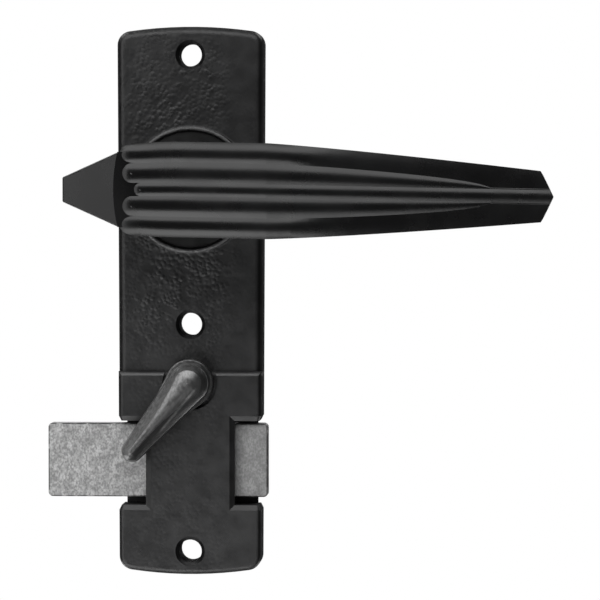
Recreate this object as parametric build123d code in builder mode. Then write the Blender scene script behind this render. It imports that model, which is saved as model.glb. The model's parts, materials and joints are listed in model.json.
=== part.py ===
"""Storm door lever latch: inside lever, escutcheon plate and night bolt.

Millimetres. The door face is the XZ plane, the latch stands in front of it
towards -Y, +Z is up, and the origin is on the lever's axis at the door face.
A stand-off is a distance in front of the door face.
"""

import math
import os

from build123d import *

os.makedirs("parts", exist_ok=True)

# Main sizes: the plate's length and the lever's length over its nose
plate_length = 131.8
lever_length = 115.8

# Escutcheon plate: outline, walls and screw holes
plate_top_width = 35.4
plate_bottom_width = 34.2
plate_top = 39.2
plate_end_rise = 1.5
plate_corner_radius = 3.4
plate_edge_radius = 1.9
plate_wall = 2.4
pick_tolerance = 0.01
screw_top_margin = 6.8
screw_bottom_margin = 5.6
screw_hole_radius = 2.75
screw_boss_wall = 2.4
screw_hole_bevel = 0.8

# Bolt housing at the foot of the plate
housing_above_snib = 2.7
housing_step = 1.4
housing_edge_radius = 1.2
bridge_half_width = 10.7
bridge_wall = 2.6
window_bevel_width = 1.2
window_bevel_depth = 0.6
window_gap_above = 0.7
window_gap_below = 1.8
floor_thickness = 1.8
floor_inset = 1.2
floor_lap = 1.2
sliding_play = 0.2

# Night bolt, drawn from its thrown place on the left
bolt_length = 53.2
bolt_height = 17.8
bolt_thickness = 4.5
bolt_below_snib = 18.8
bolt_throw = 16.0
bolt_corner_radius = 1.1
bolt_edge_radius = 0.5

# Snib, crank finger and their fixings
snib_height = 46.2
snib_swing = 80.0
snib_head_radius = 5.7
snib_skirt_height = 1.4
snib_skirt_end = 17.0
snib_skirt_end_radius = 2.0
snib_skirt_edge = 0.35
snib_paddle_radius = 5.0
snib_tip_radius = 2.65
snib_reach = 21.3
snib_head_crest = 7.8
snib_tip_crest = 6.8
snib_underside_lift = 0.9
snib_rim_height = 1.7
snib_tip_rim_height = 1.0
snib_rim_draft = 0.35
snib_head_crown = 3.3
snib_tip_crown = 0.65
snib_crown_power = 2.2
snib_crest_curve = 0.3
snib_groove_dip = 0.3
snib_steps = 6
snib_recess_gap = 0.9
snib_lift = 0.3
snib_sweep_gap = 0.4
snib_shaft_radius = 3.4
snib_flat = 2.4
snib_boss_wall = 2.6
snib_shaft_tail = 0.4
finger_tip_radius = 2.2
finger_neck_width = 2.2
finger_play = 0.35
crank_thickness = 1.75
crank_hub_radius = 5.2
clip_thickness = 0.4
clip_width = 1.6
clip_bite = 0.6
clip_mouth = 3.6
cone_washer_thickness = 0.2
cone_washer_rise = 0.15
cone_washer_width = 2.0

# Bow spring under the bolt
bow_thickness = 0.35
bow_width = 3.4
bow_end_gap = 0.4
bow_stop_width = 0.7
bow_stop_height = 1.1
bow_gap = 0.2

# Collar, spring chamber and hub bearing behind the lever
collar_radius = 15.3
collar_rise = 1.2
collar_rim_width = 1.3
collar_rim_radius = 0.6
collar_dish = 0.8
chamber_wall = 2.0
journal_radius = 6.2
running_clearance = 0.05
sleeve_wall = 1.5
seat_gap = 0.05

# Return spring, spring cam, washer and snap ring on the hub
hub_tail_gap = 0.5
hub_land = 0.4
snap_ring_thickness = 0.8
snap_ring_width = 1.8
snap_ring_bite = 0.5
snap_ring_mouth = 5.0
cam_thickness = 1.0
cam_radius = 7.9
cam_flat = 5.0
cam_arm_width = 2.6
cam_tab_thickness = 1.2
thrust_washer_thickness = 0.6
wire_diameter = 1.0
coil_pitch = 1.06
coil_clearance = 0.35
lug_length = 2.0

# Spindle socket and its grub screw
socket_width = 6.5
socket_depth = 17.5
grub_radius = 2.0
grub_length = 4.4
grub_standoff = 13.0
grub_hex_width = 2.0
grub_hex_depth = 1.8

# Lever: neck, reeded grip and latch nose
neck_radius = 8.0
neck_flare = 1.5
neck_gap = 0.2
grip_back = 22.0
grip_crest = 34.0
tip_crest = 30.2
tip_back = 23.2
grip_start = -9.4
grip_lead = -1.0
grip_lead_drop = 0.4
grip_belly = 20.0
grip_half_height = 11.2
tip_half_height = 5.7
grip_taper_power = 1.2
tip_drop = 1.75
centre_reed_half = 1.55
outer_crease_share = 0.57
reed_fade_end_length = 14.8
reed_fade_rate = 0.5
reed_fade_steps = 14
faded_reed_width = 0.3
centre_reed_rise = 0.37
middle_reed_rise = 0.55
outer_reed_rise = 0.7
outer_reed_fade_share = 0.16
outer_reed_fade_power = 4.0
tip_reed_rise = 0.12
middle_reed_dip = 0.25
outer_reed_dip = 0.5
tip_reed_dip = 0.1
grip_draft = 0.9
grip_back_bevel = 2.2
middle_reed_start = -11.4
outer_reed_start = -10.6
outer_dome_stretch = 1.6
tip_point_length = 2.7
tip_overrun = 1.0
tip_lean = 2.0
grip_wall = 2.3
pocket_start = 16.0
pocket_end_wall = 9.0
shoulder_end = -15.9
shoulder_bow = 1.0
shoulder_half_height = 8.8
nose_end = -28.8
nose_tip_half_height = 2.9
nose_spread = 0.435
nose_back = 19.0
nose_root_front = 29.2
nose_tip_front = 25.4
nose_edge_radius = 0.5

# Heights that follow from the plate's length
plate_bottom = plate_top - plate_length
screw_top = plate_top - screw_top_margin
screw_middle = -screw_top
screw_bottom = plate_bottom + screw_bottom_margin
snib_axis = plate_bottom + snib_height
housing_top = snib_axis + housing_above_snib
bolt_axis = snib_axis - bolt_below_snib

# Places along the grip that follow from the lever's length
grip_tip = nose_end + lever_length
reed_fade_end = grip_tip - reed_fade_end_length
pocket_end = grip_tip - pocket_end_wall

# Stand-offs that follow from the stack of the bolt housing
bolt_back = floor_thickness + sliding_play
bolt_front = bolt_back + bolt_thickness
bridge_back = bolt_front + sliding_play
housing_front = bridge_back + bridge_wall
plate_front = housing_front - housing_step
plate_ceiling = plate_front - plate_wall
bolt_top = bolt_axis + bolt_height / 2
bolt_bottom = bolt_axis - bolt_height / 2
bolt_rest = -bolt_throw / 2
window_top = bolt_top + window_gap_above
window_bottom = bolt_bottom - window_gap_below

# Stand-offs that follow from the stack on the lever hub
collar_front = plate_front + collar_rise
dish_floor = collar_front - collar_dish
chamber_ceiling = dish_floor - plate_wall
chamber_radius = collar_radius - chamber_wall
sleeve_radius = journal_radius + running_clearance + sleeve_wall
ring_back = hub_tail_gap + hub_land
ring_front = ring_back + snap_ring_thickness
cam_back = ring_front + seat_gap
cam_front = cam_back + cam_thickness
washer_back = cam_front + seat_gap
washer_front = washer_back + thrust_washer_thickness
sleeve_back = washer_front + seat_gap
coil_radius = sleeve_radius + coil_clearance + wire_diameter / 2
coil_back = cam_front + seat_gap + wire_diameter / 2
leg_offset = cam_arm_width / 2 + seat_gap + wire_diameter / 2
coil_turns = 2 - 2 * math.asin(leg_offset / coil_radius) / (2 * math.pi)
tab_inner = coil_radius + wire_diameter / 2 + coil_clearance
tab_outer = tab_inner + cam_tab_thickness
lug_inner = chamber_radius - lug_length
leg_end = chamber_radius - coil_clearance

# Stand-offs that follow from the stack on the snib shaft
snib_boss_back = plate_front - snib_boss_wall
cone_washer_height = cone_washer_thickness + cone_washer_rise
crank_front = snib_boss_back - cone_washer_height - seat_gap
crank_back = crank_front - crank_thickness
clip_front = crank_back - seat_gap
clip_back = clip_front - clip_thickness
snib_shaft_end = clip_back - snib_shaft_tail
snib_skirt_front = housing_front + snib_sweep_gap + snib_skirt_height
snib_rest = math.radians(snib_swing / 2)
crank_reach = bolt_throw / 2 / math.sin(snib_rest)
snib_recess_radius = snib_head_radius + snib_recess_gap
snib_plane = Plane(
    origin=(0, 0, snib_axis),
    x_dir=(math.cos(snib_rest), 0, -math.sin(snib_rest)),
    z_dir=(0, -1, 0),
)


def plate_outline(standoff, inset=0.0):
    """Return the plate's outline as a sketch, set in by a wall."""
    top_half = plate_top_width / 2 - inset
    bottom_half = plate_bottom_width / 2 - inset
    top = plate_top - inset
    bottom = plate_bottom + inset
    with BuildSketch(Plane.XZ.offset(standoff)) as outline:
        with BuildLine():
            crown = ThreePointArc(
                (-top_half, top - plate_end_rise), (0, top), (top_half, top - plate_end_rise)
            )
            base = ThreePointArc(
                (bottom_half, bottom + plate_end_rise), (0, bottom), (-bottom_half, bottom + plate_end_rise)
            )
            Line(crown @ 1, base @ 0)
            Line(base @ 1, crown @ 0)
        make_face()
        fillet(outline.vertices(), plate_corner_radius - inset)
    return outline.sketch


def grip_share(along):
    """Return how far a place lies from the belly of the grip to its tip."""
    return max(0.0, (along - grip_belly) / (grip_tip - grip_belly))


def reed_creases(along):
    """Return the grip's edges and creases across it, from the lower edge up."""
    share = grip_share(along)
    lead = max(0.0, (grip_lead - along) / (grip_lead - grip_start))
    half = grip_half_height - (grip_half_height - tip_half_height) * share**grip_taper_power
    half -= grip_lead_drop * lead**2
    middle = -tip_drop * max(0.0, along) / grip_tip
    full_width = outer_crease_share * half - centre_reed_half
    faded_width = math.sqrt(reed_fade_rate * max(0.0, reed_fade_end - along))
    middle_width = max(faded_reed_width, min(full_width, faded_width))
    crest = grip_crest - (grip_crest - tip_crest) * share
    inner = crest - centre_reed_rise
    outer = inner - middle_reed_dip * middle_width / full_width
    edge = outer - outer_reed_dip + (outer_reed_dip - tip_reed_dip) * share
    near = centre_reed_half
    far = centre_reed_half + middle_width
    return [
        (middle - half, edge),
        (middle - far, outer),
        (middle - near, inner),
        (middle + near, inner),
        (middle + far, outer),
        (middle + half, edge),
    ]


def reed_rises(along):
    """Return the height of each reed over its chord, from the lower one up."""
    share = grip_share(along)
    creases = reed_creases(along)
    faded = 1 + (share / outer_reed_fade_share) ** outer_reed_fade_power
    outer_rise = tip_reed_rise + (outer_reed_rise - tip_reed_rise) / faded
    middle_width = creases[2][0] - creases[1][0]
    belly_width = outer_crease_share * grip_half_height - centre_reed_half
    middle_rise = middle_reed_rise * middle_width / belly_width
    return [outer_rise, middle_rise, centre_reed_rise, middle_rise, outer_rise]


def section_plane(along):
    """Return the plane across the lever, with Z to its right and stand-off up."""
    return Plane(origin=(along, 0, 0), x_dir=(0, 0, 1), z_dir=(1, 0, 0))


def grip_section(along):
    """Return the grip's cross-section: five reeds, drafted sides, bevelled back."""
    creases = reed_creases(along)
    rises = reed_rises(along)
    back = grip_back + (tip_back - grip_back) * grip_share(along)
    low = creases[0][0] + grip_draft
    high = creases[-1][0] - grip_draft
    with BuildSketch(section_plane(along)) as section:
        with BuildLine():
            for start, end, rise in zip(creases, creases[1:], rises):
                SagittaArc(start, end, rise)
            Polyline(
                creases[-1],
                (high, back + grip_back_bevel),
                (high - grip_back_bevel, back),
                (low + grip_back_bevel, back),
                (low, back + grip_back_bevel),
                creases[0],
            )
        make_face()
    return section.sketch


def grip_pocket_section(along):
    """Return the cross-section of the hollow in the back of the grip."""
    creases = reed_creases(along)
    back = grip_back + (tip_back - grip_back) * grip_share(along)
    depth = creases[0][1] - grip_wall
    low = creases[0][0] + grip_draft + grip_wall
    high = creases[-1][0] - grip_draft - grip_wall
    with BuildSketch(section_plane(along)) as section:
        with BuildLine():
            Polyline(
                (low, depth),
                (high, depth),
                (high, back - grip_wall),
                (low, back - grip_wall),
                close=True,
            )
        make_face()
    return section.sketch


def reed_end_profile(index, along, base):
    """Return one reed's slice of the cross-section, down to a base stand-off."""
    creases = reed_creases(grip_start)
    rise = reed_rises(grip_start)[index]
    low = creases[index]
    high = creases[index + 1]
    with BuildSketch(section_plane(along)) as slice_sketch:
        with BuildLine():
            SagittaArc(low, high, rise)
            Polyline(high, (high[0], base), (low[0], base), low)
        make_face()
    return slice_sketch.sketch


def reed_dome(index, along, base, stretch):
    """Return half of one reed's round end, turned about its own axis."""
    creases = reed_creases(grip_start)
    rise = reed_rises(grip_start)[index]
    low = creases[index]
    high = creases[index + 1]
    middle = ((low[0] + high[0]) / 2, (low[1] + high[1]) / 2)
    chord = math.dist(low, high)
    across = ((high[0] - low[0]) / chord, (high[1] - low[1]) / chord)
    depth = middle[1] - base
    dome_plane = Plane(
        origin=(0, -middle[1], middle[0]),
        x_dir=(0, -across[1], across[0]),
        z_dir=(1, 0, 0),
    )
    with BuildPart() as dome:
        with BuildSketch(dome_plane):
            with BuildLine():
                whole = SagittaArc((-chord / 2, 0), (chord / 2, 0), rise, mode=Mode.PRIVATE)
                ThreePointArc(whole @ 0.5, whole @ 0.75, whole @ 1)
                Polyline(whole @ 1, (chord / 2, -depth), (0, -depth), whole @ 0.5)
            make_face()
        revolve(axis=Axis(dome_plane.origin, dome_plane.y_dir), revolution_arc=180)
        if stretch > 1:
            scale(by=(stretch, 1, 1))
    return dome.part.moved(Location((along, 0, 0)))


def shoulder_outline(standoff):
    """Return the bowed outline of the shoulder between the reeds and the nose."""
    corner = shoulder_end + shoulder_bow
    with BuildSketch(Plane.XZ.offset(standoff)) as outline:
        with BuildLine():
            ThreePointArc(
                (corner, -shoulder_half_height), (shoulder_end, 0), (corner, shoulder_half_height)
            )
            Polyline(
                (corner, shoulder_half_height),
                (grip_start, shoulder_half_height),
                (grip_start, -shoulder_half_height),
                (corner, -shoulder_half_height),
            )
        make_face()
    return outline.sketch


def latch_nose():
    """Return the latch nose, a wedge that thins towards its end."""
    nose_root = shoulder_end + shoulder_bow
    sections = []
    for along, front in ((nose_root, nose_root_front), (nose_end, nose_tip_front)):
        half = nose_tip_half_height + nose_spread * (along - nose_end)
        with BuildSketch(section_plane(along)) as section:
            with BuildLine():
                Polyline((-half, nose_back), (half, nose_back), (half, front), (-half, front), close=True)
            make_face()
        sections.append(section.sketch)
    with BuildPart() as nose:
        loft(sections, ruled=True)
        root_edges = nose.faces().sort_by(Axis.X)[-1].edges()
        fillet([edge for edge in nose.edges() if edge not in root_edges], nose_edge_radius)
    return nose.part


def snib_section(along):
    """Return the snib's cross-section: rim, two grooves and a raised crest."""
    share = along / snib_reach
    half = snib_paddle_radius + (snib_tip_radius - snib_paddle_radius) * share
    base = snib_skirt_front - snib_skirt_edge + snib_underside_lift * share
    rim = base + snib_rim_height + (snib_tip_rim_height - snib_rim_height) * share
    crest = housing_front + snib_head_crest + (snib_tip_crest - snib_head_crest) * share
    rim_half = half - snib_rim_draft
    crest_half = snib_tip_crown + (snib_head_crown - snib_tip_crown) * (1 - share) ** snib_crown_power
    crest_rise = snib_crest_curve * crest_half
    return half, base, rim_half, rim, crest_half, crest - crest_rise, crest_rise


def snib_section_plane(along):
    """Return the plane across the snib at a distance from its axis."""
    origin = snib_plane.from_local_coords(Vector(0, -along, 0))
    return Plane(origin=origin, x_dir=snib_plane.x_dir, z_dir=-snib_plane.y_dir)


def snib_slice(along):
    """Return the whole cross-section of the snib as a sketch."""
    half, base, rim_half, rim, crest_half, crest_edge, crest_rise = snib_section(along)
    with BuildSketch(snib_section_plane(along)) as section:
        with BuildLine():
            Polyline((rim_half, rim), (half, base), (-half, base), (-rim_half, rim))
            SagittaArc((-rim_half, rim), (-crest_half, crest_edge), -snib_groove_dip)
            SagittaArc((-crest_half, crest_edge), (crest_half, crest_edge), crest_rise)
            SagittaArc((crest_half, crest_edge), (rim_half, rim), -snib_groove_dip)
        make_face()
    return section.sketch


def snib_round_end(along, turn):
    """Return half a turn of the snib's cross-section, for its head or its tip."""
    half, base, rim_half, rim, crest_half, crest_edge, crest_rise = snib_section(along)
    plane = snib_section_plane(along)
    with BuildPart() as round_end:
        with BuildSketch(plane):
            with BuildLine():
                crest = SagittaArc(
                    (-crest_half, crest_edge), (crest_half, crest_edge), crest_rise, mode=Mode.PRIVATE
                )
                ThreePointArc(crest @ 0.5, crest @ 0.75, crest @ 1)
                SagittaArc((crest_half, crest_edge), (rim_half, rim), -snib_groove_dip)
                Polyline((rim_half, rim), (half, base), (0, base), crest @ 0.5)
            make_face()
        revolve(axis=Axis(plane.origin, plane.y_dir), revolution_arc=turn)
    return round_end.part


def flatted_shaft(plane, radius, flat):
    """Return a round with two flats, the shape that a crank or cam sits on."""
    with BuildSketch(plane) as shape:
        Circle(radius)
        Rectangle(2 * flat, 2 * radius, mode=Mode.INTERSECT)
    return shape.sketch


def ring_with_mouth(plane, inner, outer, mouth):
    """Return an open ring, a snap ring or clip, as a sketch on a plane."""
    with BuildSketch(plane) as ring:
        Circle(outer)
        Circle(inner, mode=Mode.SUBTRACT)
        with Locations((0, -outer)):
            Rectangle(mouth, 2 * outer, mode=Mode.SUBTRACT)
    return ring.sketch


# Escutcheon plate: one die casting with the bolt housing at its foot
with BuildPart() as escutcheon_plate:
    extrude(plate_outline(0), amount=plate_front)
    fillet(escutcheon_plate.faces().sort_by(Axis.Y)[0].edges(), plate_edge_radius)
    with BuildSketch(Plane.XZ):
        add(plate_outline(0))
        with Locations((0, housing_top)):
            Rectangle(
                2 * plate_top_width,
                plate_top - housing_top,
                align=(Align.CENTER, Align.MIN),
                mode=Mode.SUBTRACT,
            )
    extrude(amount=housing_front)
    fillet(escutcheon_plate.faces().sort_by(Axis.Y)[0].edges(), housing_edge_radius)

    # Collar with a round rim and a shallow dish
    with BuildSketch(Plane.XZ.offset(plate_front)):
        Circle(collar_radius)
    extrude(amount=collar_rise)
    with BuildSketch(Plane.XZ.offset(dish_floor)):
        Circle(collar_radius - collar_rim_width)
    extrude(amount=collar_dish, mode=Mode.SUBTRACT)
    rim = escutcheon_plate.faces().filter_by_position(
        Axis.Y, -collar_front - pick_tolerance, -collar_front + pick_tolerance
    )
    fillet(rim.edges(), collar_rim_radius)

    # Windows at both sides of the bridge, above a floor that carries the bolt
    for side in (-1, 1):
        outward = Align.MIN if side > 0 else Align.MAX
        with BuildSketch(Plane.XZ.offset(floor_thickness)):
            with Locations((side * bridge_half_width, window_bottom)):
                Rectangle(plate_top_width, window_top - window_bottom, align=(outward, Align.MIN))
        extrude(amount=housing_front, mode=Mode.SUBTRACT)
        with BuildSketch(Plane.XZ):
            with Locations((side * (plate_bottom_width / 2 - floor_inset), window_bottom)):
                Rectangle(plate_top_width, window_top - window_bottom, align=(outward, Align.MIN))
        extrude(amount=housing_front, mode=Mode.SUBTRACT)
    front_edges = escutcheon_plate.edges().filter_by_position(
        Axis.Y, -housing_front - pick_tolerance, -housing_front + pick_tolerance
    )
    window_edges = front_edges.filter_by_position(
        Axis.Z, window_bottom - pick_tolerance, window_top + pick_tolerance
    ).filter_by(GeomType.LINE)
    housing_face = escutcheon_plate.faces().filter_by_position(
        Axis.Y, -housing_front - pick_tolerance, -housing_front + pick_tolerance
    )[0]
    chamfer(window_edges, window_bevel_width, window_bevel_depth, reference=housing_face)

    # Bolt channel behind the bridge, and the pocket for the crank finger
    for standoff, depth, lap in (
        (0, floor_thickness, floor_lap),
        (floor_thickness, bridge_back - floor_thickness, 0),
    ):
        with BuildSketch(Plane.XZ.offset(standoff)):
            with Locations((0, window_bottom)):
                Rectangle(
                    2 * (bridge_half_width - lap), window_top - window_bottom, align=(Align.CENTER, Align.MIN)
                )
        extrude(amount=depth, mode=Mode.SUBTRACT)
    with BuildSketch(Plane.XZ):
        with Locations((0, window_top)):
            Rectangle(
                2 * bridge_half_width,
                snib_axis + snib_recess_radius - window_top,
                align=(Align.CENTER, Align.MIN),
            )
    extrude(amount=snib_boss_back, mode=Mode.SUBTRACT)
    for side in (-1, 1):
        outward = Align.MIN if side < 0 else Align.MAX
        with BuildSketch(Plane.XZ.offset(floor_thickness)):
            with Locations((side * bridge_half_width, window_bottom)):
                Rectangle(bow_stop_width, bow_stop_height, align=(outward, Align.MIN))
        extrude(amount=bridge_back - floor_thickness)

    # Hollows behind the plate, round the screw bosses
    with BuildSketch(Plane.XZ):
        add(plate_outline(0, plate_wall))
        with Locations((0, snib_axis + snib_recess_radius + plate_wall)):
            Rectangle(
                2 * plate_top_width,
                plate_top - plate_bottom,
                align=(Align.CENTER, Align.MAX),
                mode=Mode.SUBTRACT,
            )
        with Locations((0, screw_top), (0, screw_middle)):
            Circle(screw_hole_radius + screw_boss_wall, mode=Mode.SUBTRACT)
    extrude(amount=plate_ceiling, mode=Mode.SUBTRACT)
    with BuildSketch(Plane.XZ):
        add(plate_outline(0, plate_wall))
        with Locations((0, window_bottom - plate_wall)):
            Rectangle(
                2 * plate_top_width,
                plate_top - plate_bottom,
                align=(Align.CENTER, Align.MIN),
                mode=Mode.SUBTRACT,
            )
        with Locations((0, screw_bottom)):
            Circle(screw_hole_radius + screw_boss_wall, mode=Mode.SUBTRACT)
    extrude(amount=bridge_back, mode=Mode.SUBTRACT)

    # Spring chamber, hub sleeve and the fixed lug between the spring legs
    with BuildSketch(Plane.XZ):
        Circle(chamber_radius)
    extrude(amount=chamber_ceiling, mode=Mode.SUBTRACT)
    with BuildSketch(Plane.XZ.offset(sleeve_back)):
        Circle(sleeve_radius)
    extrude(amount=dish_floor - sleeve_back)
    with BuildSketch(Plane.XZ.offset(cam_front)):
        with Locations((0, lug_inner)):
            Rectangle(cam_arm_width, lug_length, align=(Align.CENTER, Align.MIN))
    extrude(amount=chamber_ceiling - cam_front)
    with BuildSketch(Plane.XZ):
        Circle(journal_radius + running_clearance)
    extrude(amount=collar_front, mode=Mode.SUBTRACT)

    # Snib recess and bearing
    with BuildSketch(Plane.XZ.offset(plate_front)):
        with Locations((0, snib_axis)):
            Circle(snib_recess_radius)
    extrude(amount=housing_step, mode=Mode.SUBTRACT)
    with BuildSketch(Plane.XZ):
        with Locations((0, snib_axis)):
            Circle(snib_shaft_radius + running_clearance)
    extrude(amount=housing_front, mode=Mode.SUBTRACT)

    # Screw holes with a small bevel at the front
    with BuildSketch(Plane.XZ):
        with Locations((0, screw_top), (0, screw_middle), (0, screw_bottom)):
            Circle(screw_hole_radius)
    extrude(amount=housing_front, mode=Mode.SUBTRACT)
    mouths = escutcheon_plate.edges().filter_by(GeomType.CIRCLE)
    mouths = mouths.filter_by(lambda edge: abs(edge.radius - screw_hole_radius) < pick_tolerance)
    mouths = mouths.filter_by_position(
        Axis.Y, -housing_front - pick_tolerance, -plate_front + pick_tolerance
    )
    chamfer(mouths, screw_hole_bevel)
escutcheon_plate.part.label = "escutcheon_plate"
export_step(escutcheon_plate.part, "parts/escutcheon_plate.step")

# Lever: reeded grip, latch nose and hub in one casting
with BuildPart() as main_lever:
    stations = [grip_start, (grip_start + grip_lead) / 2, grip_lead]
    for step in range(reed_fade_steps + 1):
        eased = (1 - math.cos(math.pi * step / reed_fade_steps)) / 2
        stations.append(grip_belly + (reed_fade_end - grip_belly) * eased)
    stations.append(grip_tip + tip_overrun)
    loft([grip_section(along) for along in stations], ruled=True)
    spread = math.atan2(tip_point_length, tip_half_height)
    lean = math.radians(tip_lean)
    for side in (-1, 1):
        tip_normal = Vector(
            math.cos(spread) * math.cos(lean), -math.sin(lean), side * math.sin(spread) * math.cos(lean)
        )
        split(bisect_by=Plane(origin=(grip_tip, -tip_back, -tip_drop), z_dir=tip_normal), keep=Keep.BOTTOM)

    # Domed ends of the reeds, set back towards the middle
    shoulder_front = reed_creases(grip_start)[1][1] - seat_gap
    reed_base = grip_back + grip_back_bevel
    outer_end = (outer_reed_start, outer_dome_stretch)
    middle_end = (middle_reed_start, 1)
    centre_end = (grip_start, 1)
    for index, (along, stretch) in enumerate((outer_end, middle_end, centre_end, middle_end, outer_end)):
        if along < grip_start:
            extrude(reed_end_profile(index, along, reed_base), amount=grip_start - along)
        add(reed_dome(index, along, reed_base, stretch))

    # Flat shoulder under the reed ends, above the nose
    extrude(shoulder_outline(grip_back), amount=shoulder_front - grip_back)
    add(latch_nose())

    # Neck and journal
    neck_base = dish_floor + neck_gap
    with BuildSketch(Plane.XY):
        with BuildLine():
            Polyline(
                (0, -grip_back - grip_back_bevel),
                (0, -hub_tail_gap),
                (journal_radius, -hub_tail_gap),
                (journal_radius, -neck_base),
                (neck_radius, -neck_base),
                (neck_radius, -grip_back + neck_flare),
            )
            RadiusArc(
                (neck_radius, -grip_back + neck_flare), (neck_radius + neck_flare, -grip_back), -neck_flare
            )
            Polyline(
                (neck_radius + neck_flare, -grip_back),
                (neck_radius + neck_flare, -grip_back - grip_back_bevel),
                (0, -grip_back - grip_back_bevel),
            )
        make_face()
    revolve(axis=Axis.Y)

    # Hollow back of the grip
    pocket_sections = [grip_pocket_section(along) for along in (pocket_start, pocket_end)]
    loft(pocket_sections, ruled=True, mode=Mode.SUBTRACT)

    # Square socket, flats for the cam, groove for the snap ring, grub screw hole
    with BuildSketch(Plane.XZ):
        Rectangle(socket_width, socket_width)
    extrude(amount=socket_depth, mode=Mode.SUBTRACT)
    with BuildSketch(Plane.XZ):
        Circle(neck_radius)
        Rectangle(2 * cam_flat, 2 * neck_radius, mode=Mode.SUBTRACT)
    extrude(amount=washer_back, mode=Mode.SUBTRACT)
    with BuildSketch(Plane.XZ.offset(ring_back)):
        Circle(neck_radius)
        Circle(journal_radius - snap_ring_bite, mode=Mode.SUBTRACT)
    extrude(amount=snap_ring_thickness, mode=Mode.SUBTRACT)
    with BuildSketch(Plane.XY):
        with Locations((0, -grub_standoff)):
            Circle(grub_radius + running_clearance)
    extrude(amount=-2 * neck_radius, mode=Mode.SUBTRACT)
main_lever.part.label = "main_lever"
export_step(main_lever.part, "parts/main_lever.step")

# Grub screw that holds the spindle in the socket
with BuildPart() as grub_screw:
    with BuildSketch(Plane.XY.offset(-socket_width / 2)):
        with Locations((0, -grub_standoff)):
            Circle(grub_radius)
    extrude(amount=-grub_length)
    with BuildSketch(Plane.XY.offset(-socket_width / 2 - grub_length)):
        with Locations((0, -grub_standoff)):
            RegularPolygon(grub_hex_width / 2, 6, major_radius=False)
    extrude(amount=grub_hex_depth, mode=Mode.SUBTRACT)
grub_screw.part.label = "grub_screw"
export_step(grub_screw.part, "parts/grub_screw.step")

# Thrust washer between the sleeve and the spring cam
with BuildPart() as thrust_washer:
    with BuildSketch(Plane.XZ.offset(washer_back)):
        Circle(sleeve_radius)
        Circle(journal_radius + running_clearance, mode=Mode.SUBTRACT)
    extrude(amount=thrust_washer_thickness)
thrust_washer.part.label = "thrust_washer"
export_step(thrust_washer.part, "parts/thrust_washer.step")

# Spring cam: a pressed disc with one arm, its tab bent forward between the spring legs
with BuildPart() as spring_cam:
    with BuildSketch(Plane.XZ.offset(cam_back)):
        Circle(cam_radius)
        Rectangle(cam_arm_width, tab_outer, align=(Align.CENTER, Align.MIN))
        add(
            flatted_shaft(Plane.XY, journal_radius + running_clearance, cam_flat + running_clearance),
            mode=Mode.SUBTRACT,
        )
    extrude(amount=cam_thickness)
    with BuildSketch(Plane.XZ.offset(cam_front)):
        with Locations((0, tab_inner)):
            Rectangle(cam_arm_width, cam_tab_thickness, align=(Align.CENTER, Align.MIN))
    extrude(amount=chamber_ceiling - coil_clearance - cam_front)
spring_cam.part.label = "spring_cam"
export_step(spring_cam.part, "parts/spring_cam.step")

# Snap ring that keeps the lever in the plate
with BuildPart() as snap_ring:
    snap_inner = journal_radius - snap_ring_bite + running_clearance
    extrude(
        ring_with_mouth(
            Plane.XZ.offset(ring_back), snap_inner, snap_inner + snap_ring_width, snap_ring_mouth
        ),
        amount=snap_ring_thickness,
    )
snap_ring.part.label = "snap_ring"
export_step(snap_ring.part, "parts/snap_ring.step")

# Return spring: two turns round the sleeve, both legs up beside the lug and the tab
leg_rise = math.sqrt(coil_radius**2 - leg_offset**2)
coil_plane = Plane(origin=(0, -coil_back, 0), x_dir=(-leg_offset, 0, leg_rise), z_dir=(0, -1, 0))
coil_height = coil_pitch * coil_turns
coil = coil_plane * Helix(coil_pitch, coil_height, coil_radius)
with BuildPart() as return_spring:
    with BuildSketch(Plane(origin=coil @ 0, z_dir=coil % 0)):
        Circle(wire_diameter / 2)
    sweep(path=coil)
    for side, standoff in ((-1, coil_back), (1, coil_back + coil_height)):
        with BuildSketch(Plane(origin=(side * leg_offset, -standoff, leg_rise), z_dir=(0, 0, 1))):
            Circle(wire_diameter / 2)
        extrude(amount=leg_end - leg_rise)
        with Locations((side * leg_offset, -standoff, leg_rise)):
            Sphere(wire_diameter / 2)
return_spring.part.label = "return_spring"
export_step(return_spring.part, "parts/return_spring.step")

# Snib: a teardrop thumb lever with its shaft in one casting
with BuildPart() as snib_lever:
    with BuildSketch(snib_plane.offset(snib_skirt_front - snib_skirt_height)):
        Circle(snib_head_radius)
        with Locations((0, -snib_skirt_end)):
            Circle(snib_skirt_end_radius)
        make_hull()
    extrude(amount=snib_skirt_height)
    fillet(snib_lever.faces().sort_by(Axis.Y)[0].edges(), snib_skirt_edge)
    loft([snib_slice(snib_reach * step / snib_steps) for step in range(snib_steps + 1)], ruled=True)
    add(snib_round_end(0, 180))
    add(snib_round_end(snib_reach, -180))
    hub_foot = plate_front + snib_lift
    with BuildSketch(snib_plane.offset(hub_foot)):
        Circle(snib_head_radius)
    extrude(amount=housing_front + snib_sweep_gap - hub_foot)
    with BuildSketch(snib_plane.offset(crank_front)):
        Circle(snib_shaft_radius)
    extrude(amount=hub_foot - crank_front)
    extrude(
        flatted_shaft(snib_plane.offset(snib_shaft_end), snib_shaft_radius, snib_flat),
        amount=crank_front - snib_shaft_end,
    )
    with BuildSketch(snib_plane.offset(clip_back)):
        Circle(2 * snib_shaft_radius)
        Circle(snib_shaft_radius - clip_bite, mode=Mode.SUBTRACT)
    extrude(amount=clip_thickness, mode=Mode.SUBTRACT)
snib_lever.part.label = "snib_lever"
export_step(snib_lever.part, "parts/snib_lever.step")

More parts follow.
